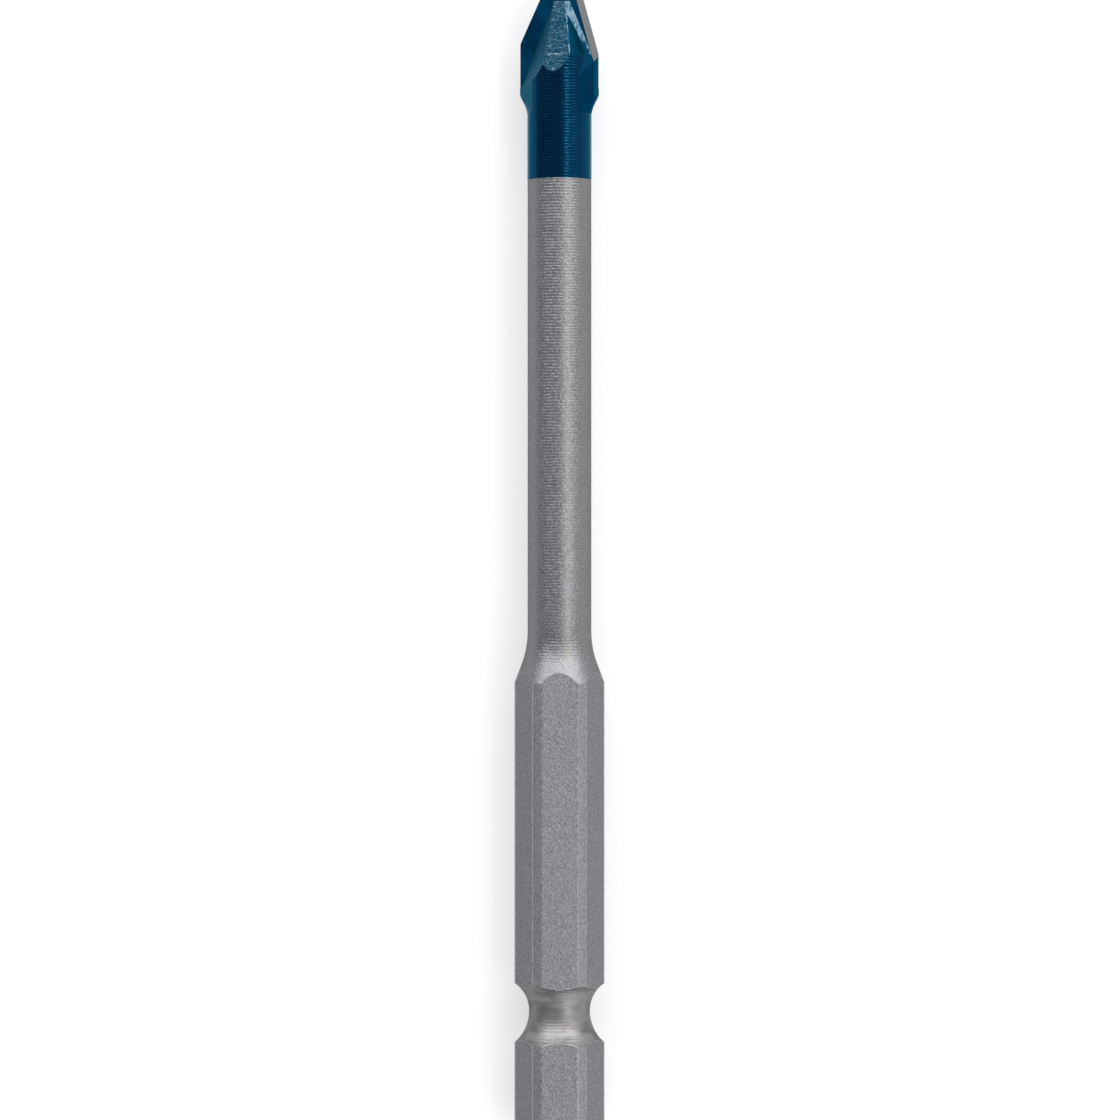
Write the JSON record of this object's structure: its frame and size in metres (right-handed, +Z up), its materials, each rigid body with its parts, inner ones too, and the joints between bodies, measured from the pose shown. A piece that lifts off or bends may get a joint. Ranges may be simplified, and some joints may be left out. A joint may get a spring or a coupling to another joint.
{
  "type": "glass and tile drill bit",
  "caption": "Slim drill bit for glass and tile: hexagon power shank with a detent groove, round shaft, and a lacquered spear head with a carbide plate brazed across it.",
  "frame": {"origin": "on the surface that the bit lies on, below the middle of its length", "axes": "+Y along the bit's axis towards the point, +Z up from the flat of the hexagon that it lies on"},
  "size_m": [0.007, 0.0904, 0.0063],
  "materials": {
    "shank_steel": "fine blasted satin steel with turning rings on the shaft, lacquered blue at the front end",
    "tip_carbide": "ground carbide, bare on the flanks and lacquered blue on the faces",
    "blue_lacquer": "thin glossy lacquer over braze"
  },
  "bodies": {
    "root": {"steel_shank": "shank_steel", "carbide_tip": "tip_carbide", "braze_seam": "blue_lacquer"}
  },
  "joints": []
}
